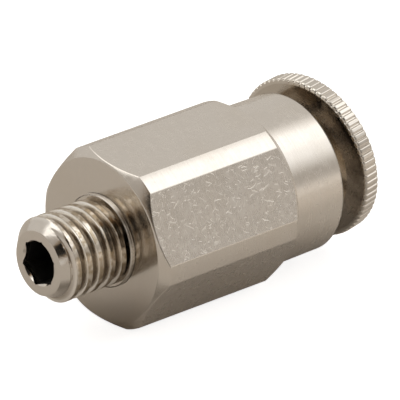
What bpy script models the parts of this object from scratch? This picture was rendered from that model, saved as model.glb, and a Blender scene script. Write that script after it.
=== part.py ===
"""Push-to-connect pneumatic fitting: straight male stud for a 4 mm tube, M5 thread, 9.5 mm hexagon.

Frame: +X runs along the fitting's axis from the threaded stud to the tube entry, +Z up.
The origin is where the axis meets the hexagon's seating face. Two of the hexagon's flats
face straight up and down. Metres throughout; the constants below are written in millimetres.
"""

import math

import bmesh
import bpy
from mathutils import Matrix, Vector

MM = 0.001

# Threaded stud (M5 x 0.8), on the -X side of the seating face
STUD_END_X = -4.53
TIP_FACE_R = 1.84
THREAD_CREST_R = 2.46
THREAD_ROOT_R = 2.04
RELIEF_R = 1.97
THREAD_PITCH = 0.80
THREAD_START_X = -4.42
THREAD_TURNS = 5
STUD_ROOT_X = 0.60
TIP_CHAMFER_X = -3.92
SOCKET_AF = 2.38
SOCKET_DEPTH_X = -1.80
SOCKET_MOUTH_R = 1.30
SOCKET_MOUTH_CONE = 0.20
SOCKET_TURN = 35.0

# Low collar on the seating face, which the thread runs up to
COLLAR_R = 2.64
COLLAR_X = -0.16

# Hexagon, milled on a round bar, chamfered at both ends
HEX_AF = 9.50
BAR_R = 5.18
FACE_R = 4.66
FRONT_CHAMFER_X = 0.43
REAR_CHAMFER_X = 9.64
HEX_END_X = 10.26

# Barrel, slightly tapered towards its mouth
BARREL_R0 = 4.55
BARREL_R1 = 4.50
MOUTH_X = 13.68
MOUTH_ROUND = 0.13

# Stepped bore
AIR_BORE_R = 1.15
TUBE_STOP_X = 2.50
TUBE_BORE_R = 2.06
SEAL_BORE_X = 7.08
SEAL_BORE_R = 3.43
CARTRIDGE_BORE_X = 9.55
CARTRIDGE_BORE_R = 3.80

# Seal and the pieces of the gripping cartridge
SEAL_X = 7.85
SEAL_RING_R = 2.69
SEAL_CORD_R = 0.70
SPACER_X0, SPACER_X1 = 8.62, 9.31
SPACER_R = 3.35
CONE_X0, CONE_X1 = 9.61, 11.45
CONE_R0, CONE_R1 = 3.50, 3.08
CONE_OUT_R = 3.72
CLAW_X0, CLAW_X1 = 10.30, 11.33
CLAW_WALL = 0.34
CLAW_TOOTH_R = 2.14
CLAW_GAP = 0.10
CLAW_SLOTS = 6
CLAW_SLOT_W = 0.36
CLAW_ROOT = 0.32
BUSH_X0, BUSH_X1 = 12.45, 13.51
BUSH_LIP_R = 2.72
BUSH_LIP_END = 12.71
BUSH_R = 3.32

# Release ring. It sits loose in the bush and rests cocked over by RING_TILT
RING_PIVOT_X = 11.78
RING_TILT = 7.8
RING_TILT_WAY = 40.0
RING_BORE_R = 2.06
RING_NOSE_T = 0.0
RING_COLLAR_R = 2.90
RING_NECK_R = 2.37
RING_FLARE_T0, RING_FLARE_T1 = 1.54, 3.21
RING_FLARE_R = 4.39
RING_BACK_T, RING_FRONT_T = 3.35, 4.27
RING_R = 4.70

BODY_SEGMENTS = 48
RING_SEGMENTS = 48
SMALL_SEGMENTS = 36


def clear_scene():
    for obj in list(bpy.data.objects):
        bpy.data.objects.remove(obj, do_unlink=True)


def material(name, colour, roughness, metallic):
    mat = bpy.data.materials.new(name)
    mat.use_nodes = True
    shader = mat.node_tree.nodes["Principled BSDF"]
    shader.inputs["Base Color"].default_value = (*colour, 1.0)
    shader.inputs["Roughness"].default_value = roughness
    shader.inputs["Metallic"].default_value = metallic
    return mat


def object_from(name, bm, mat, smooth=True):
    bmesh.ops.recalc_face_normals(bm, faces=bm.faces)
    mesh = bpy.data.meshes.new(name)
    bm.to_mesh(mesh)
    bm.free()
    obj = bpy.data.objects.new(name, mesh)
    bpy.context.scene.collection.objects.link(obj)
    if mat:
        mesh.materials.append(mat)
    if smooth:
        mesh.shade_smooth()
        mesh.set_sharp_from_angle(angle=math.radians(28))
    return obj


def as_cutter(obj):
    obj.hide_render = True
    obj.display_type = "WIRE"
    return obj


def boolean(obj, cutter, operation, name):
    modifier = obj.modifiers.new(name, "BOOLEAN")
    modifier.operation = operation
    modifier.solver = "EXACT"
    modifier.object = cutter
    return modifier


def ring_of(bm, x, r, segments, phase=0.0):
    step = 2 * math.pi / segments
    return [
        bm.verts.new(
            (
                x * MM,
                r * math.cos(i * step + phase) * MM,
                r * math.sin(i * step + phase) * MM,
            )
        )
        for i in range(segments)
    ]


def bridge(bm, a, b):
    n = len(a)
    for i in range(n):
        bm.faces.new((a[i], a[(i + 1) % n], b[(i + 1) % n], b[i]))


def turned(name, profile, segments, mat, closed=True, phase=0.0):
    """A solid turned about X. A closed profile is a hollow section; an open one is capped at both ends."""
    bm = bmesh.new()
    rings = [ring_of(bm, x, r, segments, phase) for x, r in profile]
    for a, b in zip(rings, rings[1:]):
        bridge(bm, a, b)
    if closed:
        bridge(bm, rings[-1], rings[0])
    else:
        bm.faces.new(rings[0])
        bm.faces.new(rings[-1])
    return object_from(name, bm, mat)


def prism(name, af, x0, x1, mat=None, phase=0.0):
    """A hexagonal bar along X. With no phase, two of its flats face up and down."""
    corner_r = af / 2 / math.cos(math.pi / 6)
    bm = bmesh.new()
    ends = [
        ring_of(bm, x, corner_r, 6, phase + math.pi / 3) for x in (x0, x1)
    ]
    bridge(bm, *ends)
    bm.faces.new(ends[0])
    bm.faces.new(ends[1])
    return object_from(name, bm, mat, smooth=False)


def thread_form(phase):
    """Radius of the thread at this fraction of one pitch: a rounded crest and a flat root."""
    crest, flank = 0.40, 0.22
    d = abs(phase - 0.5)
    if d <= crest / 2:
        return THREAD_CREST_R
    if d >= crest / 2 + flank:
        return THREAD_ROOT_R
    share = (d - crest / 2) / flank
    return THREAD_CREST_R + (THREAD_ROOT_R - THREAD_CREST_R) * share


def build_stud():
    """The stud with its helical thread, a closed solid that reaches well inside the hexagon."""
    n = BODY_SEGMENTS
    forms = (0.08, 0.30, 0.70, 0.92)
    per_turn = len(forms)
    bm = bmesh.new()
    cap = ring_of(bm, STUD_END_X, TIP_FACE_R - 0.12, n)
    bm.faces.new(cap)
    tip = ring_of(bm, STUD_END_X + 0.05, TIP_FACE_R, n)
    bridge(bm, cap, tip)

    def chamfered(x, r):
        slope = (THREAD_CREST_R - TIP_FACE_R) / (TIP_CHAMFER_X - STUD_END_X)
        return min(r, TIP_FACE_R + (x - STUD_END_X) * slope)

    last = THREAD_TURNS * per_turn
    helix = []
    for j in range(last + per_turn + 1):
        turn, form = divmod(j, per_turn)
        row = []
        for i in range(n):
            phase = forms[form]
            x = THREAD_START_X + THREAD_PITCH * (turn + phase + i / n - 0.08)
            r = chamfered(x, thread_form(phase))
            angle = 2 * math.pi * i / n
            row.append(
                bm.verts.new(
                    (x * MM, r * math.cos(angle) * MM, r * math.sin(angle) * MM)
                )
            )
        helix.append(row)
    # after one turn a row continues in the row one pitch further on
    for j in range(last):
        for i in range(n - 1):
            bm.faces.new(
                (helix[j][i], helix[j][i + 1], helix[j + 1][i + 1], helix[j + 1][i])
            )
        bm.faces.new(
            (
                helix[j][n - 1],
                helix[j + per_turn][0],
                helix[j + per_turn + 1][0],
                helix[j + 1][n - 1],
            )
        )
    # start of the thread: the tip ring meets the first row, with a step where the helix begins
    for i in range(n - 1):
        bm.faces.new((tip[i], tip[i + 1], helix[0][i + 1], helix[0][i]))
    bm.faces.new((tip[n - 1], tip[0], helix[per_turn][0], helix[0][n - 1]))
    bm.faces.new([tip[0]] + [helix[k][0] for k in range(per_turn + 1)])
    # its end, inside the hexagon
    root = ring_of(bm, STUD_ROOT_X, RELIEF_R, n)
    for i in range(n - 1):
        bm.faces.new((helix[last][i], helix[last][i + 1], root[i + 1], root[i]))
    bm.faces.new((helix[last][n - 1], helix[last + per_turn][0], root[0], root[n - 1]))
    bm.faces.new([root[0]] + [helix[last + k][0] for k in range(per_turn + 1)])
    bm.faces.new(root)
    for row in helix[last + 1 :]:
        for vert in row:
            if not vert.link_faces:
                bm.verts.remove(vert)
    return object_from("thread_blank", bm, None)


def body_blank(mat):
    """The body's turned outside from the collar to the mouth, still round where the hexagon will be."""
    return turned(
        "body",
        [
            (COLLAR_X, COLLAR_R - 0.04),
            (COLLAR_X + 0.04, COLLAR_R),
            (0.0, COLLAR_R),
            (0.0, FACE_R),
            (FRONT_CHAMFER_X, BAR_R),
            (REAR_CHAMFER_X, BAR_R),
            (HEX_END_X, BARREL_R0),
            (MOUTH_X - MOUTH_ROUND, BARREL_R1),
            (MOUTH_X - 0.04, BARREL_R1 - 0.05),
            (MOUTH_X, BARREL_R1 - MOUTH_ROUND),
        ],
        BODY_SEGMENTS,
        mat,
        closed=False,
    )


def build_body(mat):
    body = body_blank(mat)
    flats = as_cutter(prism("cutter_hex_flats", HEX_AF, STUD_END_X - 2, MOUTH_X + 2))
    boolean(body, flats, "INTERSECT", "hex_flats")
    boolean(body, as_cutter(build_stud()), "UNION", "threaded_stud")
    bore = as_cutter(
        turned(
            "cutter_bore",
            [
                (STUD_END_X - 1.0, SOCKET_MOUTH_R + 1.0),
                (STUD_END_X, SOCKET_MOUTH_R),
                (STUD_END_X + SOCKET_MOUTH_CONE, AIR_BORE_R),
                (TUBE_STOP_X, AIR_BORE_R),
                (TUBE_STOP_X, TUBE_BORE_R),
                (SEAL_BORE_X, TUBE_BORE_R),
                (SEAL_BORE_X, SEAL_BORE_R),
                (CARTRIDGE_BORE_X, SEAL_BORE_R),
                (CARTRIDGE_BORE_X, CARTRIDGE_BORE_R),
                (MOUTH_X - 0.10, CARTRIDGE_BORE_R),
                (MOUTH_X, CARTRIDGE_BORE_R + 0.10),
                (MOUTH_X + 1.0, CARTRIDGE_BORE_R + 0.10),
            ],
            BODY_SEGMENTS,
            None,
            closed=False,
        )
    )
    boolean(body, bore, "DIFFERENCE", "stepped_bore")
    key = as_cutter(
        prism(
            "cutter_hex_socket",
            SOCKET_AF,
            STUD_END_X - 1,
            SOCKET_DEPTH_X,
            phase=math.radians(SOCKET_TURN),
        )
    )
    boolean(body, key, "DIFFERENCE", "hex_socket")
    return body


def build_seal(mat):
    steps = 14
    profile = [
        (
            SEAL_X + SEAL_CORD_R * math.cos(2 * math.pi * k / steps),
            SEAL_RING_R + SEAL_CORD_R * math.sin(2 * math.pi * k / steps),
        )
        for k in range(steps)
    ]
    return turned("tube_seal_o_ring", profile, SMALL_SEGMENTS, mat)


def build_spacer(mat):
    profile = [
        (SPACER_X0, 2.20),
        (SPACER_X0 + 0.1, 2.10),
        (SPACER_X1, 2.10),
        (SPACER_X1, SPACER_R - 0.08),
        (SPACER_X1 - 0.08, SPACER_R),
        (SPACER_X0 + 0.08, SPACER_R),
        (SPACER_X0, SPACER_R - 0.08),
    ]
    return turned("seal_backup_ring", profile, SMALL_SEGMENTS, mat)


def build_cone_ring(mat):
    profile = [
        (CONE_X0, CONE_R0),
        (CONE_X1, CONE_R1),
        (CONE_X1, CONE_OUT_R - 0.10),
        (CONE_X1 - 0.10, CONE_OUT_R),
        (CONE_X0, CONE_OUT_R),
    ]
    return turned("claw_cone_ring", profile, BODY_SEGMENTS, mat)


def cone_r(x):
    return CONE_R0 + (x - CONE_X0) * (CONE_R1 - CONE_R0) / (CONE_X1 - CONE_X0)


def build_claw_ring(mat):
    """A springy toothed ring, slit into claws from its mouth side, that wedges in the cone."""
    mid = CLAW_X0 + 0.62 * (CLAW_X1 - CLAW_X0)
    profile = [
        (CLAW_X0, cone_r(CLAW_X0) - CLAW_GAP - CLAW_WALL),
        (mid, cone_r(mid) - CLAW_GAP - CLAW_WALL),
        (CLAW_X1 - 0.16, CLAW_TOOTH_R),
        (CLAW_X1, CLAW_TOOTH_R + 0.05),
        (CLAW_X1, cone_r(CLAW_X1) - CLAW_GAP - 0.06),
        (CLAW_X1 - 0.06, cone_r(CLAW_X1 - 0.06) - CLAW_GAP),
        (CLAW_X0, cone_r(CLAW_X0) - CLAW_GAP),
    ]
    ring = turned("grip_claw_ring", profile, SMALL_SEGMENTS, mat)
    for k in range(CLAW_SLOTS):
        angle = 2 * math.pi * k / CLAW_SLOTS
        bm = bmesh.new()
        bmesh.ops.create_cube(bm, size=1.0)
        bmesh.ops.scale(
            bm,
            vec=Vector((CLAW_X1 - CLAW_X0 - CLAW_ROOT + 0.5, CLAW_SLOT_W, 3.0)) * MM,
            verts=bm.verts,
        )
        bmesh.ops.translate(
            bm,
            vec=Vector(((CLAW_X1 + CLAW_X0 + CLAW_ROOT + 0.5) / 2, 0, 3.0)) * MM,
            verts=bm.verts,
        )
        bmesh.ops.rotate(
            bm, matrix=Matrix.Rotation(angle, 3, "X"), verts=bm.verts
        )
        slot = as_cutter(object_from(f"cutter_claw_slot_{k}", bm, None, smooth=False))
        boolean(ring, slot, "DIFFERENCE", f"slot_{k}")
    return ring


def build_bush(mat):
    profile = [
        (BUSH_X0, BUSH_LIP_R + 0.08),
        (BUSH_X0 + 0.08, BUSH_LIP_R),
        (BUSH_LIP_END, BUSH_LIP_R),
        (BUSH_LIP_END + 0.32, BUSH_R),
        (BUSH_X1 - 0.12, BUSH_R),
        (BUSH_X1, BUSH_R + 0.12),
        (BUSH_X1, CONE_OUT_R - 0.10),
        (BUSH_X1 - 0.10, CONE_OUT_R),
        (BUSH_X0 + 0.10, CONE_OUT_R),
        (BUSH_X0, CONE_OUT_R - 0.10),
    ]
    return turned("retaining_bush", profile, BODY_SEGMENTS, mat)


def build_release_ring(mat):
    """Trumpet-shaped push ring. Its own axis is local X through the pivot, and it leans by RING_TILT."""
    flare = []
    steps = 9
    for k in range(steps + 1):
        share = k / steps
        across = math.sin(share * math.pi / 2 * 0.96)
        t = RING_FLARE_T0 + (RING_FLARE_T1 - RING_FLARE_T0) * across / math.sin(
            math.pi / 2 * 0.96
        )
        rise = (1 - math.cos(share * math.pi / 2 * 0.96)) / (
            1 - math.cos(math.pi / 2 * 0.96)
        )
        flare.append((t, RING_NECK_R + (RING_FLARE_R - RING_NECK_R) * rise))
    profile = (
        [
            (RING_NOSE_T, RING_BORE_R + 0.10),
            (RING_NOSE_T, RING_COLLAR_R - 0.10),
            (RING_NOSE_T + 0.10, RING_COLLAR_R),
            (RING_NOSE_T + 0.22, RING_COLLAR_R),
            (RING_NOSE_T + 0.24, RING_NECK_R),
        ]
        + flare
        + [
            (RING_BACK_T, RING_R - 0.05),
            (RING_BACK_T + 0.05, RING_R),
            (RING_FRONT_T - 0.10, RING_R - 0.03),
            (RING_FRONT_T, RING_R - 0.13),
            (RING_FRONT_T, RING_BORE_R + 0.45),
            (RING_FRONT_T - 0.45, RING_BORE_R),
            (RING_NOSE_T + 0.10, RING_BORE_R),
        ]
    )
    ring = turned("release_ring", profile, RING_SEGMENTS, mat)
    way = math.radians(RING_TILT_WAY)
    lean = Vector((0, math.cos(way), math.sin(way)))
    hinge_axis = Vector((1, 0, 0)).cross(lean)
    ring.rotation_mode = "QUATERNION"
    ring.rotation_quaternion = Matrix.Rotation(
        math.radians(RING_TILT), 3, hinge_axis
    ).to_quaternion()
    pivot = bpy.data.objects.new("release_ring_pivot", None)
    bpy.context.scene.collection.objects.link(pivot)
    pivot.location = (RING_PIVOT_X * MM, 0, 0)
    ring.parent = pivot
    return ring


def main():
    clear_scene()
    nickel = material("nickel_plated_brass", (0.66, 0.62, 0.56), 0.28, 1.0)
    ring_nickel = material("ring_nickel", (0.70, 0.66, 0.60), 0.25, 1.0)
    brass = material("bare_brass", (0.72, 0.56, 0.28), 0.35, 1.0)
    steel = material("stainless_spring_steel", (0.62, 0.62, 0.63), 0.22, 1.0)
    nitrile = material("nitrile_rubber", (0.02, 0.02, 0.02), 0.55, 0.0)
    build_body(nickel)
    build_seal(nitrile)
    build_spacer(brass)
    build_cone_ring(brass)
    build_claw_ring(steel)
    build_bush(nickel)
    build_release_ring(ring_nickel)


main()
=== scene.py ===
"""Looks of the push-to-connect fitting: fine meshes and nickel, brass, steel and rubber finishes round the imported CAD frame."""

import math

import bmesh
import bpy
from mathutils import Matrix, Vector


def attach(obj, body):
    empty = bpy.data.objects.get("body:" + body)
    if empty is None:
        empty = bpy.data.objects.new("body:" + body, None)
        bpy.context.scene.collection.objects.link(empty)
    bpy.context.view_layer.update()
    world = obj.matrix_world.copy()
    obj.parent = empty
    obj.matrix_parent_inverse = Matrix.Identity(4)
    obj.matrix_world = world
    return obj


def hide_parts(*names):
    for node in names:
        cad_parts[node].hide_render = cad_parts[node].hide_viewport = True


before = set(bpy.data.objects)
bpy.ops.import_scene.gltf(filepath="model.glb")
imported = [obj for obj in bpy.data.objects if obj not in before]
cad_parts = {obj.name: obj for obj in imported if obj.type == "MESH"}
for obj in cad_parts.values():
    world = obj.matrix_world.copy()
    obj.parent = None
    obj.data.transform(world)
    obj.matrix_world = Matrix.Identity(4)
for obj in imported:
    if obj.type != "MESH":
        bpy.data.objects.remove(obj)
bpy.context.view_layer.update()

MM = 0.001
TAU = 2 * math.pi

# ---------------------------------------------------------------- sizes, as in the CAD, in millimetres
STUD_END_X, TIP_R = -4.53, 1.84
THREAD_CREST_R, THREAD_ROOT_R, PITCH = 2.46, 2.06, 0.80
THREAD_START_X = -4.486
RELIEF_R = 1.97
COLLAR_R, COLLAR_X = 2.64, -0.16
HEX_AF, BAR_R, FACE_R = 9.5, 5.18, 4.66
FRONT_CHAMFER_X, REAR_CHAMFER_X, HEX_END_X = 0.43, 9.64, 10.26
BARREL_R0, BARREL_R1, MOUTH_X = 4.55, 4.50, 13.68
SOCKET_AF, SOCKET_DEPTH_X, SOCKET_MOUTH_R, SOCKET_TURN = 2.38, -1.8, 1.30, 35.0
AIR_BORE_R, TUBE_STOP_X, TUBE_BORE_R = 1.15, 2.50, 2.06
SEAL_BORE_X, SEAL_BORE_R = 7.08, 3.43
CARTRIDGE_BORE_X, CARTRIDGE_BORE_R = 9.55, 3.80
RING_PIVOT_X, RING_TILT, RING_TILT_WAY = 11.78, 7.8, 40.0
RING_BORE_R, RING_COLLAR_R, RING_NECK_R = 2.06, 2.90, 2.37
RING_FLARE_T0, RING_FLARE_T1, RING_FLARE_R = 1.54, 3.26, 4.58
RING_BACK_T, RING_FRONT_T, RING_R = 3.35, 4.27, 4.70
SEAL_X, SEAL_RING_R, SEAL_CORD_R = 7.85, 2.69, 0.70
SPACER_X0, SPACER_X1, SPACER_R = 8.62, 9.31, 3.35
CONE_X0, CONE_X1, CONE_R0, CONE_R1, CONE_OUT_R = 9.61, 11.45, 3.50, 3.08, 3.72
BUSH_X0, BUSH_X1, BUSH_LIP_R, BUSH_LIP_END, BUSH_R = 12.45, 13.51, 2.72, 12.71, 3.32
TEETH, TOOTH_DEPTH = 72, 0.085


# ---------------------------------------------------------------- mesh tools
def mesh_object(name, verts, faces, sharp_deg=30):
    mesh = bpy.data.meshes.new(name)
    mesh.from_pydata([(x * MM, y * MM, z * MM) for x, y, z in verts], [], faces)
    mesh.validate()
    obj = bpy.data.objects.new(name, mesh)
    bpy.context.scene.collection.objects.link(obj)
    bm = bmesh.new()
    bm.from_mesh(mesh)
    bmesh.ops.recalc_face_normals(bm, faces=bm.faces)
    bm.to_mesh(mesh)
    bm.free()
    mesh.shade_smooth()
    mesh.set_sharp_from_angle(angle=math.radians(sharp_deg))
    return obj


def rounded(profile, closed=False, default=0.0):
    """A profile of (x, r, corner radius) with each corner rounded by a short arc."""
    out = []
    n = len(profile)
    for i, point in enumerate(profile):
        x, r = point[0], point[1]
        rad = point[2] if len(point) > 2 else default
        if rad <= 0 or (not closed and i in (0, n - 1)):
            out.append((x, r))
            continue
        p = Vector((x, r))
        a = Vector(profile[(i - 1) % n][:2]) - p
        b = Vector(profile[(i + 1) % n][:2]) - p
        la, lb = a.length, b.length
        a.normalize()
        b.normalize()
        turn = a.angle(b)
        cut = min(rad / math.tan(turn / 2), la * 0.45, lb * 0.45)
        rad = cut * math.tan(turn / 2)
        steps = max(2, int((math.pi - turn) / math.radians(14)))
        centre = p + (a + b).normalized() * (rad / math.sin(turn / 2))
        start, end = p + a * cut - centre, p + b * cut - centre
        sweep = start.angle(end)
        side = 1 if start.cross(end) > 0 else -1
        for k in range(steps + 1):
            t = sweep * k / steps * side
            c, s = math.cos(t), math.sin(t)
            q = centre + Vector((start.x * c - start.y * s, start.x * s + start.y * c))
            out.append((q.x, q.y))
    return out


def lathe(name, profile, n, radial=None, closed=True, sharp_deg=30):
    verts, faces = [], []
    for k, (x, r) in enumerate(profile):
        for i in range(n):
            a = TAU * i / n
            rr = r if radial is None else radial(k, x, r, a)
            verts.append((x, rr * math.cos(a), rr * math.sin(a)))
    rows = len(profile)
    for k in range(rows if closed else rows - 1):
        k2 = (k + 1) % rows
        for i in range(n):
            j = (i + 1) % n
            faces.append((k * n + i, k * n + j, k2 * n + j, k2 * n + i))
    if not closed:
        faces.append(tuple(range(n)))
        faces.append(tuple((rows - 1) * n + i for i in range(n)))
    return mesh_object(name, verts, faces, sharp_deg)


def hexagon(name, af, x0, x1, turn=0.0):
    r = af / 2 / math.cos(math.pi / 6)
    verts = [
        (x, r * math.cos(TAU * i / 6 + turn), r * math.sin(TAU * i / 6 + turn))
        for x in (x0, x1)
        for i in range(6)
    ]
    faces = [(i, (i + 1) % 6, 6 + (i + 1) % 6, 6 + i) for i in range(6)]
    faces += [tuple(range(6)), tuple(range(6, 12))]
    return mesh_object(name, verts, faces)


def apply_boolean(obj, cutter, operation):
    m = obj.modifiers.new("cut", "BOOLEAN")
    m.operation, m.solver, m.object = operation, "EXACT", cutter
    graph = bpy.context.evaluated_depsgraph_get()
    mesh = bpy.data.meshes.new_from_object(obj.evaluated_get(graph))
    obj.modifiers.clear()
    old = obj.data
    obj.data = mesh
    bpy.data.meshes.remove(old)
    bpy.data.objects.remove(cutter)


def bevel_edges(obj, width_mm, segments=3, angle=22):
    m = obj.modifiers.new("edge_break", "BEVEL")
    m.width = width_mm * MM
    m.segments = segments
    m.limit_method = "ANGLE"
    m.angle_limit = math.radians(angle)
    m.use_clamp_overlap = False
    m.miter_outer = "MITER_SHARP"
    m.harden_normals = False
    graph = bpy.context.evaluated_depsgraph_get()
    mesh = bpy.data.meshes.new_from_object(obj.evaluated_get(graph))
    obj.modifiers.clear()
    old = obj.data
    obj.data = mesh
    bpy.data.meshes.remove(old)


def face_weighted(obj):
    """Normals led by the largest faces, so that a flat with a broken edge still shades flat."""
    m = obj.modifiers.new("weighted", "WEIGHTED_NORMAL")
    m.mode, m.weight, m.keep_sharp = "FACE_AREA", 100, True
    graph = bpy.context.evaluated_depsgraph_get()
    mesh = bpy.data.meshes.new_from_object(obj.evaluated_get(graph))
    obj.modifiers.clear()
    old = obj.data
    obj.data = mesh
    bpy.data.meshes.remove(old)


# ---------------------------------------------------------------- node material tools
def new_material(name):
    mat = bpy.data.materials.new(name)
    mat.use_nodes = True
    tree = mat.node_tree
    return mat, tree, tree.nodes["Principled BSDF"]


def node(tree, kind, inputs=None, **settings):
    n = tree.nodes.new(kind)
    for key, value in settings.items():
        setattr(n, key, value)
    for key, value in (inputs or {}).items():
        if isinstance(value, bpy.types.NodeSocket):
            tree.links.new(value, n.inputs[key])
        else:
            n.inputs[key].default_value = value
    return n


def maths(tree, operation, a, b=0.0, clamp=False):
    return node(
        tree, "ShaderNodeMath", {0: a, 1: b}, operation=operation, use_clamp=clamp
    ).outputs[0]


def spread(tree, value, low, high, to_low=0.0, to_high=1.0):
    return node(
        tree,
        "ShaderNodeMapRange",
        {"Value": value, "From Min": low, "From Max": high, "To Min": to_low, "To Max": to_high},
    ).outputs[0]


def noise(tree, coords, scale, detail=2.0, rough=0.5, distortion=0.0):
    return node(
        tree,
        "ShaderNodeTexNoise",
        {"Vector": coords, "Scale": scale, "Detail": detail, "Roughness": rough, "Distortion": distortion},
    ).outputs["Fac"]


def mix_colour(tree, fac, a, b, blend="MIX"):
    n = tree.nodes.new("ShaderNodeMix")
    n.data_type, n.blend_type = "RGBA", blend
    for index, value in ((0, fac), (6, a), (7, b)):
        if isinstance(value, bpy.types.NodeSocket):
            tree.links.new(value, n.inputs[index])
        else:
            n.inputs[index].default_value = value
    return n.outputs[2]


def stretched(tree, coords, scale, rotation=(0, 0, 0)):
    return node(
        tree,
        "ShaderNodeMapping",
        {"Vector": coords, "Scale": scale, "Rotation": rotation},
    ).outputs[0]


def hairs(tree, coords, shift, scale, half_length, width):
    """Separate short curved hairlines: one in each cell, with its own way, bend and strength."""
    moved = node(tree, "ShaderNodeVectorMath", {0: coords, 1: (shift, shift * 0.7, 0.0)}, operation="ADD").outputs[0]
    cell = node(tree, "ShaderNodeTexVoronoi", {"Vector": moved, "Scale": scale, "Randomness": 1.0}, voronoi_dimensions="2D").outputs
    off = node(tree, "ShaderNodeSeparateXYZ", {0: node(tree, "ShaderNodeVectorMath", {0: moved, 1: cell["Position"]}, operation="SUBTRACT").outputs[0]}).outputs
    own = node(tree, "ShaderNodeSeparateColor", {0: cell["Color"]}).outputs
    way = maths(tree, "MULTIPLY", own[0], TAU)
    c, s = maths(tree, "COSINE", way), maths(tree, "SINE", way)
    u = maths(tree, "ADD", maths(tree, "MULTIPLY", off[0], c), maths(tree, "MULTIPLY", off[1], s))
    v = maths(tree, "SUBTRACT", maths(tree, "MULTIPLY", off[1], c), maths(tree, "MULTIPLY", off[0], s))
    bend = spread(tree, own[1], 0.0, 1.0, -1.1, 1.1)
    v = maths(tree, "ADD", v, maths(tree, "MULTIPLY", bend, maths(tree, "MULTIPLY", u, u)))
    line = spread(tree, maths(tree, "ABSOLUTE", v), width, width * 0.25)
    end = spread(tree, maths(tree, "ABSOLUTE", u), half_length, half_length * 0.7)
    return maths(tree, "MULTIPLY", maths(tree, "MULTIPLY", line, end), spread(tree, own[2], 0.56, 0.84, 0.0, 1.0))


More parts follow.
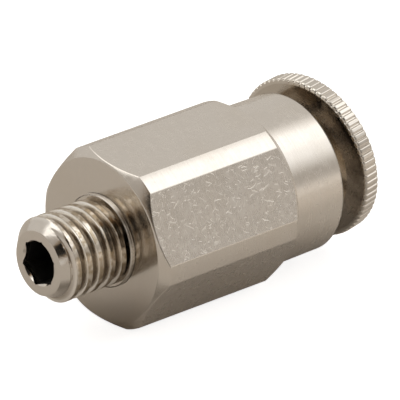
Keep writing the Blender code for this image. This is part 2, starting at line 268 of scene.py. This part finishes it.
def nickel(name, tint=(0.70, 0.655, 0.60), rough=(0.16, 0.30), turned=0.25, marks=0.0, wear_and_painted_light=False):
    """Nickel plate on turned brass: tool lines round the axis, cloudy gloss, faint pits and, where asked, tumbling
    marks with a painted highlight, and thread wear with painted shade, highlights and reflections.
    """
    mat, tree, shader = new_material(name)
    coords = node(tree, "ShaderNodeTexCoord").outputs["Object"]
    mm = node(tree, "ShaderNodeVectorMath", {0: coords, "Scale": 1000.0}, operation="SCALE").outputs[0]
    parts = node(tree, "ShaderNodeSeparateXYZ", {0: mm}).outputs
    radius = maths(
        tree,
        "SQRT",
        maths(tree, "ADD", maths(tree, "MULTIPLY", parts[1], parts[1]), maths(tree, "MULTIPLY", parts[2], parts[2])),
    )
    cloud = noise(tree, mm, 2.6, 3.0, 0.55)
    fine = noise(tree, mm, 9.0, 3.0, 0.6)
    # tool lines: rings that depend on the place along the axis and the distance from it only
    rings = node(tree, "ShaderNodeCombineXYZ", {0: maths(tree, "MULTIPLY", parts[0], 14.0), 1: maths(tree, "MULTIPLY", radius, 14.0), 2: 0.0}).outputs[0]
    lines = noise(tree, rings, 1.0, 3.0, 0.65)
    grey = spread(tree, cloud, 0.3, 0.7, 0.985, 1.015)
    stain = spread(tree, noise(tree, mm, 0.35, 3.0, 0.55), 0.45, 0.75)
    base = mix_colour(tree, stain, (*tint, 1), (tint[0] * 0.985, tint[1] * 0.975, tint[2] * 0.955, 1))
    base = mix_colour(tree, 1.0, base, node(tree, "ShaderNodeCombineColor", {0: grey, 1: grey, 2: grey}).outputs[0], "MULTIPLY")
    low, high = rough
    gloss = spread(tree, maths(tree, "ADD", maths(tree, "MULTIPLY", cloud, 0.5), maths(tree, "MULTIPLY", lines, 0.5)), 0.35, 0.65, low, high)
    height = maths(tree, "ADD", maths(tree, "MULTIPLY", lines, turned), maths(tree, "MULTIPLY", fine, 0.12))
    pits = spread(tree, node(tree, "ShaderNodeTexVoronoi", {"Vector": mm, "Scale": 3.2}).outputs["Distance"], 0.0, 0.05, 1.0, 0.0)
    pits = maths(tree, "MULTIPLY", pits, spread(tree, noise(tree, mm, 1.3, 1.0), 0.52, 0.6))
    height = maths(tree, "SUBTRACT", height, maths(tree, "MULTIPLY", pits, 0.5))
    if marks:
        # only the hexagon's flats carry tumbling marks: inside the bar and on a plane that faces a flat's way
        flat = None
        normal = node(tree, "ShaderNodeNewGeometry").outputs["True Normal"]
        local = node(tree, "ShaderNodeVectorTransform", {0: normal}, vector_type="NORMAL", convert_from="WORLD", convert_to="OBJECT").outputs[0]
        for k in range(6):
            a = math.radians(30 + 60 * k)
            d = node(tree, "ShaderNodeVectorMath", {0: local, 1: (0.0, math.cos(a), math.sin(a))}, operation="DOT_PRODUCT").outputs["Value"]
            m = spread(tree, d, 0.9990, 0.9998)
            weight = (0.35, 0.12, 1.0, 0.30, 0.9, 0.5)[k]
            m = maths(tree, "MULTIPLY", m, weight)
            flat = m if flat is None else maths(tree, "ADD", flat, m)
        inside = maths(tree, "MULTIPLY", spread(tree, radius, 4.70, 4.74), maths(tree, "LESS_THAN", parts[0], HEX_END_X - 0.04))
        flat = maths(tree, "MULTIPLY", flat, inside)
        round_way = maths(tree, "MULTIPLY", maths(tree, "ARCTAN2", parts[2], parts[1]), HEX_AF / 2)
        sheet = node(tree, "ShaderNodeCombineXYZ", {0: parts[0], 1: round_way, 2: 0.0}).outputs[0]
        scratch_and_painted_glint = None
        for k, (scale, half_length, width) in enumerate(((1.3, 0.30, 0.023), (1.9, 0.22, 0.020), (2.7, 0.15, 0.018), (4.0, 0.10, 0.016))):
            h = hairs(tree, sheet, 7.3 * k + 3.0, scale, half_length, width)
            scratch_and_painted_glint = h if scratch_and_painted_glint is None else maths(tree, "MAXIMUM", scratch_and_painted_glint, h)
        wrinkle = noise(tree, mm, 12.0, 0.0, 0.5, 1.2)
        scratch_and_painted_glint = maths(tree, "MULTIPLY", scratch_and_painted_glint, flat)
        height = maths(tree, "ADD", height, maths(tree, "MULTIPLY", scratch_and_painted_glint, -3.2 * marks))
        height = maths(tree, "ADD", height, maths(tree, "MULTIPLY", maths(tree, "MULTIPLY", wrinkle, flat), 0.9 * marks))
        gloss = maths(tree, "ADD", gloss, maths(tree, "MULTIPLY", flat, 0.05))
        # painted highlight: the scratches' colour is lifted to near white to stand in for their glints; their bump is
        # the real wear
        base = mix_colour(tree, scratch_and_painted_glint, base, (1.0, 0.96, 0.90, 1))
    if wear_and_painted_light:
        # wear as a bumpy texture, in the threads most of all; the colours here are painted light: a painted reflection
        # in mottled gold and brown on the crests, painted shade in the roots, a painted highlight on the crest corners,
        # and painted shade that makes the socket near black
        patch = spread(tree, noise(tree, mm, 2.1, 2.5, 0.6), 0.44, 0.58)
        # painted reflection: mottled gold and brown on the thread crests
        crest = maths(tree, "MULTIPLY", spread(tree, radius, 2.40, 2.45), spread(tree, parts[0], -4.1, -3.7))
        crest_painted_reflection = mix_colour(tree, patch, (0.42, 0.345, 0.25, 1), (0.68, 0.62, 0.54, 1))
        base = mix_colour(tree, crest, base, crest_painted_reflection)
        # painted shade: the thread roots are darkened
        root = maths(tree, "MULTIPLY", spread(tree, radius, 2.28, 2.12), spread(tree, parts[0], -4.1, -3.7))
        base = mix_colour(tree, root, base, (0.40, 0.35, 0.29, 1))
        # painted highlight: the corners of the crests are lightened to near white
        edge = maths(tree, "MULTIPLY", spread(tree, radius, 2.26, 2.32), spread(tree, radius, 2.448, 2.42))
        edge = maths(tree, "MULTIPLY", edge, spread(tree, parts[0], -4.1, -3.7))
        base = mix_colour(tree, edge, base, (0.96, 0.93, 0.88, 1))
        height = maths(tree, "ADD", height, maths(tree, "MULTIPLY", noise(tree, mm, 2.4, 2.0, 0.6), 2.2))
        # painted shade: the inside of the socket is made near black
        inside = maths(tree, "MULTIPLY", spread(tree, radius, 1.40, 1.36), spread(tree, parts[0], STUD_END_X + 0.10, STUD_END_X + 0.45))
        base = mix_colour(tree, inside, base, (0.11, 0.108, 0.104, 1))
        gloss = maths(tree, "ADD", gloss, maths(tree, "MULTIPLY", inside, 0.30))
    # faces turned square to the axis are the smoothest
    square = node(tree, "ShaderNodeSeparateXYZ", {0: node(tree, "ShaderNodeNewGeometry").outputs["True Normal"]}).outputs[0]
    square = spread(tree, maths(tree, "ABSOLUTE", square), 0.96, 0.985)
    gloss = maths(tree, "MULTIPLY", gloss, spread(tree, square, 0.0, 1.0, 1.0, 0.5))
    height = maths(tree, "MULTIPLY", height, spread(tree, square, 0.0, 1.0, 1.0, 0.2))
    bump = node(tree, "ShaderNodeBump", {"Strength": 0.35, "Distance": 0.000012, "Height": height}).outputs[0]
    shader.inputs["Metallic"].default_value = 1.0
    tree.links.new(base, shader.inputs["Base Color"])
    tree.links.new(gloss, shader.inputs["Roughness"])
    tree.links.new(bump, shader.inputs["Normal"])
    return mat


def faced(name):
    """The seating face: facing rings blur its reflections along the radius."""
    mat = nickel(name, rough=(0.20, 0.30), turned=0.10)
    tree = mat.node_tree
    shader = tree.nodes["Principled BSDF"]
    shader.inputs["Anisotropic"].default_value = 0.85
    shader.inputs["Anisotropic Rotation"].default_value = 0.25
    tangent = tree.nodes.new("ShaderNodeTangent")
    tangent.direction_type, tangent.axis = "RADIAL", "X"
    tree.links.new(tangent.outputs[0], shader.inputs["Tangent"])
    return mat


def rubber():
    mat, tree, shader = new_material("nitrile_rubber_matt")
    coords = node(tree, "ShaderNodeTexCoord").outputs["Object"]
    mm = node(tree, "ShaderNodeVectorMath", {0: coords, "Scale": 1000.0}, operation="SCALE").outputs[0]
    grain = noise(tree, mm, 22.0, 4.0, 0.6)
    base = mix_colour(tree, noise(tree, mm, 3.0, 3.0), (0.012, 0.012, 0.012, 1), (0.035, 0.034, 0.033, 1))
    tree.links.new(base, shader.inputs["Base Color"])
    tree.links.new(spread(tree, grain, 0.3, 0.7, 0.42, 0.62), shader.inputs["Roughness"])
    bump = node(tree, "ShaderNodeBump", {"Strength": 0.3, "Distance": 0.00001, "Height": grain}).outputs[0]
    tree.links.new(bump, shader.inputs["Normal"])
    return mat


def plain_floor():
    mat, tree, shader = new_material("studio_floor")
    coords = node(tree, "ShaderNodeTexCoord").outputs["Object"]
    tone = spread(tree, noise(tree, coords, 60.0, 3.0), 0.3, 0.7, 0.0, 1.0)
    seen = node(tree, "ShaderNodeLightPath").outputs["Is Camera Ray"]
    pale = mix_colour(tree, tone, (0.70, 0.70, 0.70, 1), (0.72, 0.72, 0.72, 1))
    # painted shadow in the floor's colour as reflections see it: a dark wedge from 3 to 10 mm out, towards the side of
    # the studio away from the lights
    side = node(tree, "ShaderNodeVectorMath", {0: coords, 1: (-0.64, -0.77, 0.0)}, operation="DOT_PRODUCT").outputs["Value"]
    across = node(tree, "ShaderNodeVectorMath", {0: coords, 1: (0.77, -0.64, 0.0)}, operation="DOT_PRODUCT").outputs["Value"]
    wedge = maths(tree, "DIVIDE", maths(tree, "ABSOLUTE", across), maths(tree, "MAXIMUM", side, 0.001))
    painted_shadow_wedge = maths(tree, "MULTIPLY", maths(tree, "MULTIPLY", spread(tree, side, 0.0030, 0.0060), spread(tree, side, 0.0100, 0.0070)), spread(tree, wedge, 0.75, 0.50))
    # painted shade: the reflected floor is darker near the part and lighter beyond about 40 mm along one way
    away = node(tree, "ShaderNodeVectorMath", {0: coords, 1: (0.60, -0.80, 0.0)}, operation="DOT_PRODUCT").outputs["Value"]
    near_painted_shade = mix_colour(tree, spread(tree, away, 0.022, 0.040), (0.67, 0.627, 0.578, 1), (0.86, 0.80, 0.735, 1))
    lit = mix_colour(tree, painted_shadow_wedge, near_painted_shade, (0.33, 0.30, 0.265, 1))
    reflected = mix_colour(tree, seen, lit, pale)
    tree.links.new(reflected, shader.inputs["Base Color"])
    shader.inputs["Roughness"].default_value = 0.9
    shader.inputs["Specular IOR Level"].default_value = 0.1
    glow = maths(tree, "MULTIPLY", seen, 0.82)
    shader.inputs["Emission Color"].default_value = (1, 1, 1, 1)
    tree.links.new(glow, shader.inputs["Emission Strength"])
    return mat


# ---------------------------------------------------------------- body: hexagon and barrel
N_BODY = 288
outer = rounded(
    [
        (COLLAR_X, RELIEF_R - 0.3),
        (COLLAR_X, COLLAR_R, 0.035),
        (0.0, COLLAR_R, 0.015),
        (0.0, FACE_R),
        (FRONT_CHAMFER_X, BAR_R),
        (REAR_CHAMFER_X, BAR_R),
        (HEX_END_X, BARREL_R0, 0.06),
        (MOUTH_X, BARREL_R1, 0.13),
        (MOUTH_X, CARTRIDGE_BORE_R + 0.08, 0.04),
        (MOUTH_X - 0.08, CARTRIDGE_BORE_R, 0.03),
        (CARTRIDGE_BORE_X, CARTRIDGE_BORE_R, 0.03),
        (CARTRIDGE_BORE_X, SEAL_BORE_R, 0.03),
        (SEAL_BORE_X, SEAL_BORE_R, 0.03),
        (SEAL_BORE_X, TUBE_BORE_R, 0.03),
        (TUBE_STOP_X, TUBE_BORE_R, 0.03),
        (TUBE_STOP_X, AIR_BORE_R, 0.03),
        (1.2, AIR_BORE_R),
        (1.2, RELIEF_R - 0.3),
    ]
)
shell = lathe("hexagon_and_barrel", outer, N_BODY)
apply_boolean(shell, hexagon("cutter_flats", HEX_AF, -2, 16), "INTERSECT")
shell.data.shade_smooth()
bevel_edges(shell, 0.042, 4, 14)
shell.data.shade_smooth()
shell.data.set_sharp_from_angle(angle=math.radians(50))
face_weighted(shell)


# ---------------------------------------------------------------- body: threaded stud
def thread_radius(phase):
    """Rounded crest, flat root, soft corners. phase is the fraction of one pitch, with the crest at 0.5."""
    crest, flank, soft = 0.42, 0.15, 0.035
    d = abs(phase - 0.5)
    a, b = crest / 2, crest / 2 + flank
    if d <= a:
        share = 0.0
    elif d >= b:
        share = 1.0
    else:
        share = (d - a) / (b - a)
    # round the two corners of the flank
    t = (d - a) / (b - a)
    k = soft / (b - a)
    if abs(t) < k:
        share = (t + k) ** 2 / (4 * k)
    elif abs(t - 1) < k:
        share = 1 - (1 - t + k) ** 2 / (4 * k)
    return THREAD_CREST_R + (THREAD_ROOT_R - THREAD_CREST_R) * share


TIP_ARC = rounded(
    [(STUD_END_X, 1.1), (STUD_END_X, TIP_R, 0.07), (-4.05, 2.32, 0.22), (-3.88, 2.49), (2.0, 2.49)]
)


def envelope(x):
    """The tip's chamfer, which trims the thread's first turn."""
    for (x0, r0), (x1, r1) in zip(TIP_ARC[1:], TIP_ARC[2:]):
        if x0 <= x <= x1 and x1 > x0:
            return r0 + (r1 - r0) * (x - x0) / (x1 - x0)
    return TIP_R if x < 0 else 2.6


def stud():
    n, per = 288, 26
    turns = 5
    start = THREAD_START_X
    verts, faces = [], []

    def add(x, r, a):
        verts.append((x, r * math.cos(a), r * math.sin(a)))
        return len(verts) - 1

    # bore of the socket mouth, tip face and its rounded edge
    tip_profile = [(STUD_END_X, 1.60)] + [p for p in TIP_ARC[1:] if p[0] < start - 0.004]
    rows = [[add(x, r, TAU * i / n) for i in range(n)] for x, r in tip_profile]
    grid = []
    for j in range((turns + 1) * per + 1):
        row = []
        for i in range(n):
            a = TAU * i / n
            turn, k = divmod(j, per)
            phase = k / per
            x = start + PITCH * (turn + phase + i / n)
            r = thread_radius(phase)
            # the groove is cut to full depth only behind the tip's chamfer
            cut_in = max(0.0, min(1.0, (x + 4.45) / 0.50))
            r = THREAD_CREST_R + (r - THREAD_CREST_R) * (0.25 + 0.75 * cut_in)
            row.append(add(x, min(r, envelope(x)), a))
        grid.append(row)
    last = turns * per
    for a, b in zip(rows, rows[1:]):
        faces += [(a[i], a[(i + 1) % n], b[(i + 1) % n], b[i]) for i in range(n)]
    for j in range(last):
        for i in range(n - 1):
            faces.append((grid[j][i], grid[j][i + 1], grid[j + 1][i + 1], grid[j + 1][i]))
        faces.append((grid[j][n - 1], grid[j + per][0], grid[j + per + 1][0], grid[j + 1][n - 1]))
    tip = rows[-1]
    for i in range(n - 1):
        faces.append((tip[i], tip[i + 1], grid[0][i + 1], grid[0][i]))
    faces.append((tip[n - 1], tip[0], grid[per][0], grid[0][n - 1]))
    for k in range(per):
        faces.append((tip[0], grid[k][0], grid[k + 1][0]))
    end_profile = [(0.50, RELIEF_R), (0.70, RELIEF_R), (0.90, RELIEF_R - 0.02)]
    ends = [[add(x, r, TAU * i / n) for i in range(n)] for x, r in end_profile]
    relief = ends[0]
    for i in range(n - 1):
        faces.append((grid[last][i], grid[last][i + 1], relief[i + 1], relief[i]))
    faces.append((grid[last][n - 1], grid[last + per][0], relief[0], relief[n - 1]))
    for k in range(per):
        faces.append((relief[0], grid[last + k][0], grid[last + k + 1][0]))
    for a, b in zip(ends, ends[1:]):
        faces += [(a[i], a[(i + 1) % n], b[(i + 1) % n], b[i]) for i in range(n)]
    # close both ends over the axis; the socket and the air bore are cut next
    faces.append(tuple(rows[0]))
    faces.append(tuple(ends[-1]))
    used = sorted({v for f in faces for v in f})
    index = {v: k for k, v in enumerate(used)}
    return mesh_object(
        "threaded_stud", [verts[v] for v in used], [tuple(index[v] for v in f) for f in faces], 40
    )


thread = stud()
bore = lathe(
    "cutter_bore",
    [(STUD_END_X - 0.5, SOCKET_MOUTH_R + 0.5), (STUD_END_X, SOCKET_MOUTH_R), (STUD_END_X + 0.20, AIR_BORE_R - 0.02), (-2.2, AIR_BORE_R - 0.02), (-2.2, AIR_BORE_R), (2.0, AIR_BORE_R)],
    144,
    closed=False,
)
apply_boolean(thread, bore, "DIFFERENCE")
apply_boolean(thread, hexagon("cutter_key", SOCKET_AF, STUD_END_X - 1, SOCKET_DEPTH_X, math.radians(SOCKET_TURN)), "DIFFERENCE")
thread.data.shade_smooth()
thread.data.set_sharp_from_angle(angle=math.radians(32))

# ---------------------------------------------------------------- release ring, turned about its own axis
flare = []
for k in range(25):
    share = k / 24
    top = math.pi / 2 * 0.96
    t = RING_FLARE_T0 + (RING_FLARE_T1 - RING_FLARE_T0) * math.sin(share * top) / math.sin(top)
    rise = (1 - math.cos(share * top)) / (1 - math.cos(top))
    flare.append((t, RING_NECK_R + (RING_FLARE_R - RING_NECK_R) * rise))
band = []
band_steps = 10
for k in range(band_steps + 1):
    share = k / band_steps
    band.append((RING_BACK_T + 0.06 + (RING_FRONT_T - RING_BACK_T - 0.16) * share, RING_R - 0.02 * share))
ring_profile_neck = rounded([(0.10, RING_BORE_R), (0.0, RING_BORE_R + 0.10, 0.03), (0.0, RING_COLLAR_R - 0.08, 0.03), (0.10, RING_COLLAR_R, 0.04), (0.23, RING_COLLAR_R, 0.03), (0.24, RING_NECK_R, 0.03), flare[0]])
ring_profile = (
    ring_profile_neck
    + flare[1:-1]
    + rounded([flare[-1], (RING_BACK_T - 0.03, RING_R - 0.03, 0.02), band[0]])
    + band[1:-1]
    + rounded([band[-1], (RING_FRONT_T, RING_R - 0.12, 0.05), (RING_FRONT_T, RING_BORE_R + 0.45, 0.06), (RING_FRONT_T - 0.45, RING_BORE_R, 0.10), (0.3, RING_BORE_R)])
)
TOOTH_SEGMENTS = 12


def knurled(k, x, r, a):
    """Straight knurl: square-topped teeth that die out below the rim."""
    reach = max(0.0, min(1.0, (r - (RING_R - 0.20)) / 0.12))
    if x < RING_BACK_T - 0.08 or reach <= 0:
        return r
    p = (a / TAU * TEETH) % 1.0
    d = abs(p - 0.5) * 2
    share = max(0.0, min(1.0, (d - 0.54) / 0.34))
    share = share * share * (3 - 2 * share)
    return r - TOOTH_DEPTH * reach * share


flange_rows = range(len(ring_profile_neck) - 1, len(ring_profile_neck) + len(flare) - 3)
ring = lathe("release_ring_knurled", ring_profile, TEETH * TOOTH_SEGMENTS, knurled, sharp_deg=40)
way = math.radians(RING_TILT_WAY)
lean = Vector((0, math.cos(way), math.sin(way)))
turn = Matrix.Rotation(math.radians(RING_TILT), 4, Vector((1, 0, 0)).cross(lean))
ring.data.transform(Matrix.Translation((RING_PIVOT_X * MM, 0, 0)) @ turn)

# ---------------------------------------------------------------- inner pieces, turned finer than the CAD's
inner = []
N_IN = 144
seal = lathe(
    "o_ring_smooth",
    [(SEAL_X + SEAL_CORD_R * math.cos(TAU * k / 40), SEAL_RING_R + SEAL_CORD_R * math.sin(TAU * k / 40)) for k in range(40)],
    N_IN,
)
spacer = lathe(
    "backup_ring_turned",
    rounded(
        [(SPACER_X0, 2.20, 0.03), (SPACER_X0 + 0.10, 2.10, 0.03), (SPACER_X1, 2.10, 0.04), (SPACER_X1, SPACER_R, 0.07), (SPACER_X0, SPACER_R, 0.07)],
        closed=True,
    ),
    N_IN,
)
cone = lathe(
    "cone_ring_turned",
    rounded([(CONE_X0, CONE_R0, 0.03), (CONE_X1, CONE_R1, 0.04), (CONE_X1, CONE_OUT_R, 0.08), (CONE_X0, CONE_OUT_R, 0.04)], closed=True),
    N_IN,
)
bush = lathe(
    "bush_turned",
    rounded(
        [
            (BUSH_X0, BUSH_LIP_R + 0.08, 0.03),
            (BUSH_X0 + 0.08, BUSH_LIP_R, 0.03),
            (BUSH_LIP_END, BUSH_LIP_R, 0.04),
            (BUSH_LIP_END + 0.32, BUSH_R, 0.06),
            (BUSH_X1 - 0.12, BUSH_R, 0.03),
            (BUSH_X1, BUSH_R + 0.12, 0.03),
            (BUSH_X1, CONE_OUT_R, 0.08),
            (BUSH_X0, CONE_OUT_R, 0.08),
        ],
        closed=True,
    ),
    N_IN,
)

# ---------------------------------------------------------------- finishes
nickel_body = nickel("nickel_plate_body", marks=1.0)
nickel_face = faced("nickel_plate_seating_face")
nickel_thread = nickel("nickel_plate_thread", rough=(0.10, 0.22), turned=0.15, wear_and_painted_light=True)
nickel_ring = nickel("nickel_plate_ring", tint=(0.665, 0.62, 0.56), rough=(0.15, 0.26), turned=0.08)
# painted shade: a darker copy of the ring's nickel for its hollow flare; painted reflection: a warm copy for its neck
nickel_flange_painted_shade = nickel("nickel_plate_flange_painted_shade", tint=(0.56, 0.51, 0.45), rough=(0.20, 0.30), turned=0.10)
nickel_neck_painted_reflection = nickel("nickel_plate_neck_painted_reflection", tint=(0.74, 0.655, 0.54), rough=(0.14, 0.22), turned=0.10)
nickel_bush = nickel("nickel_plate_bush", rough=(0.18, 0.30))
brass = nickel("turned_brass", tint=(0.74, 0.56, 0.27), rough=(0.22, 0.36))
steel = nickel("spring_steel_stamped", tint=(0.60, 0.60, 0.61), rough=(0.18, 0.32), turned=0.1)
black_rubber = rubber()

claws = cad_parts["grip_claw_ring"]
for piece, mat, body, cad, slot_name in (
    (shell, nickel_body, "fitting_body", "body", "nickel_body"),
    (thread, nickel_thread, "fitting_body", "body", "nickel_body"),
    (ring, nickel_ring, "push_ring", "release_ring", "nickel_ring"),
    (seal, black_rubber, "fitting_body", "tube_seal_o_ring", "nitrile"),
    (spacer, brass, "fitting_body", "seal_backup_ring", "bare_brass"),
    (cone, brass, "cartridge", "claw_cone_ring", "bare_brass"),
    (bush, nickel_bush, "fitting_body", "retaining_bush", "nickel_body"),
):
    piece.data.materials.clear()
    piece.data.materials.append(mat)
    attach(piece, body)
    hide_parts(cad)
shell.data.materials.append(nickel_face)
for face in shell.data.polygons:
    if face.normal.x < -0.98 and face.center.x < 0.05 * MM and math.hypot(face.center.y, face.center.z) > 0.0 and face.area > 0:
        face.material_index = 1
# painted shade: the hollow back of the ring is duller than its rim, with a darker tint; near its neck a warm tint is a
# painted reflection
ring.data.materials.append(nickel_flange_painted_shade)
ring.data.materials.append(nickel_neck_painted_reflection)
for face in ring.data.polygons:
    row = face.index // (TEETH * TOOTH_SEGMENTS)
    if row in flange_rows:
        face.material_index = 1 if row > flange_rows[15] else 2
claws.data.materials.clear()
claws.data.materials.append(steel)

# ---------------------------------------------------------------- floor, light and camera
FLOOR_Z = -0.00476
floor_mesh = bpy.data.meshes.new("floor")
floor_mesh.from_pydata([(-3, -3, FLOOR_Z), (3, -3, FLOOR_Z), (3, 3, FLOOR_Z), (-3, 3, FLOOR_Z)], [], [(0, 1, 2, 3)])
floor = bpy.data.objects.new("floor", floor_mesh)
bpy.context.scene.collection.objects.link(floor)
floor.data.materials.append(plain_floor())

# directions, in the row frame
FORWARD = Vector((0.60360, 0.63297, -0.48478))
RIGHT = Vector((0.74858, -0.65919, 0.07135))
UP = Vector((0.27440, 0.40597, 0.87172))

world = bpy.data.worlds.new("studio")
bpy.context.scene.world = world
world.use_nodes = True
wt = world.node_tree
background = wt.nodes["Background"]
direction = node(wt, "ShaderNodeTexCoord").outputs["Generated"]


def lobe(way, half_deg, soft_deg):
    """1 inside a cone round a direction, falling to 0 over the soft edge."""
    v = Vector(way).normalized()
    d = node(wt, "ShaderNodeVectorMath", {0: direction, 1: tuple(v)}, operation="DOT_PRODUCT").outputs["Value"]
    return spread(wt, d, math.cos(math.radians(half_deg + soft_deg)), math.cos(math.radians(half_deg)))


parts = node(wt, "ShaderNodeSeparateXYZ", {0: direction}).outputs
turn_about_x = maths(wt, "MULTIPLY", maths(wt, "ARCTAN2", parts[2], parts[1]), 180 / math.pi)


def band(x, turn):
    """1 inside a patch of the studio, soft at its edges. x and turn are (outside, inside, inside, outside) limits:
    the direction's share along X, and its turn about X in degrees from +Y towards +Z."""
    along = maths(wt, "MULTIPLY", spread(wt, parts[0], x[0], x[1]), spread(wt, parts[0], x[3], x[2]))
    around = maths(wt, "MULTIPLY", spread(wt, turn_about_x, turn[0], turn[1]), spread(wt, turn_about_x, turn[3], turn[2]))
    return maths(wt, "MULTIPLY", along, around)


sky = (0.70, 0.67, 0.63, 1)
overhead = (1.40, 1.40, 1.39, 1)
colour = mix_colour(wt, band((-0.1, 0.2, 0.9, 1.0), (143, 153, 161, 172)), sky, (0.50, 0.465, 0.425, 1))
colour = mix_colour(wt, band((0.2, 0.4, 0.9, 1.0), (166, 173, 188, 190)), colour, (0.96, 0.89, 0.81, 1))
colour = mix_colour(wt, band((0.22, 0.38, 0.75, 0.90), (83, 93, 127, 147)), colour, overhead)
# dimmer above the stud's end, with one soft light there
dim = (0.50, 0.465, 0.42, 1)
colour = mix_colour(wt, band((-1.02, -1.0, -0.72, -0.67), (46, 56, 100, 108)), colour, dim)
colour = mix_colour(wt, band((-1.02, -1.0, -0.62, -0.57), (15, 28, 46, 54)), colour, dim)
colour = mix_colour(wt, band((-0.70, -0.655, -0.48, -0.40), (42, 50, 80, 90)), colour, (1.6, 1.58, 1.53, 1))
# small lights and flags that only the broken edges pick up
colour = mix_colour(wt, band((-0.34, -0.26, 0.22, 0.32), (34, 42, 78, 92)), colour, (1.9, 1.87, 1.8, 1))
colour = mix_colour(wt, band((-0.44, -0.36, 0.16, 0.24), (92, 97, 124, 130)), colour, (0.05, 0.048, 0.045, 1))
colour = mix_colour(wt, band((-0.44, -0.36, 0.22, 0.30), (142, 147, 182, 186)), colour, (0.16, 0.155, 0.15, 1))
# the dark side of the studio, where the camera stands, with a warm fringe
warm, dark = (0.34, 0.215, 0.105, 1), (0.012, 0.011, 0.010, 1)
colour = mix_colour(wt, band((-0.98, -0.90, -0.42, -0.28), (92, 101, 154, 164)), colour, warm)
colour = mix_colour(wt, band((-0.72, -0.64, -0.42, -0.28), (92, 106, 176, 184)), colour, warm)
colour = mix_colour(wt, band((-0.66, -0.62, -0.46, -0.40), (107, 113, 178, 184)), colour, dark)
colour = mix_colour(wt, band((-0.95, -0.88, -0.60, -0.56), (99, 104, 150, 158)), colour, dark)
wt.links.new(colour, background.inputs["Color"])
background.inputs["Strength"].default_value = 1.0


def softbox(name, way, distance, size, power, colour=(1, 0.985, 0.96)):
    light = bpy.data.lights.new(name, "AREA")
    light.shape = "RECTANGLE"
    light.size, light.size_y = size
    light.energy = power
    light.color = colour
    obj = bpy.data.objects.new(name, light)
    bpy.context.scene.collection.objects.link(obj)
    v = Vector(way).normalized()
    obj.location = Vector((0.005, 0, 0)) + v * distance
    obj.rotation_euler = (-v).to_track_quat("-Z", "Y").to_euler()
    return obj


# the long soft light that whitens the upper land and the barrel's shoulder
softbox("key_softbox", (0.604, -0.10, 0.79), 0.30, (0.16, 0.075), 0.015)

DISTANCE = 0.58946
FOCAL_PX = 10870.4
camera_data = bpy.data.cameras.new("camera")
camera = bpy.data.objects.new("camera", camera_data)
bpy.context.scene.collection.objects.link(camera)
camera_data.sensor_width = 36.0
camera_data.lens = FOCAL_PX * 36.0 / 400.0
camera_data.clip_start, camera_data.clip_end = 0.01, 20.0
# the part's origin, in the camera's right, down and forward directions, is at (-5.335, 2.181, 589.5) mm
camera.location = -(RIGHT * -0.0053352 - UP * 0.0021809 + FORWARD * DISTANCE)
camera.matrix_world = Matrix(
    (
        (RIGHT.x, UP.x, -FORWARD.x, camera.location.x),
        (RIGHT.y, UP.y, -FORWARD.y, camera.location.y),
        (RIGHT.z, UP.z, -FORWARD.z, camera.location.z),
        (0, 0, 0, 1),
    )
)
bpy.context.scene.camera = camera
bpy.context.scene.view_settings.view_transform = "Standard"
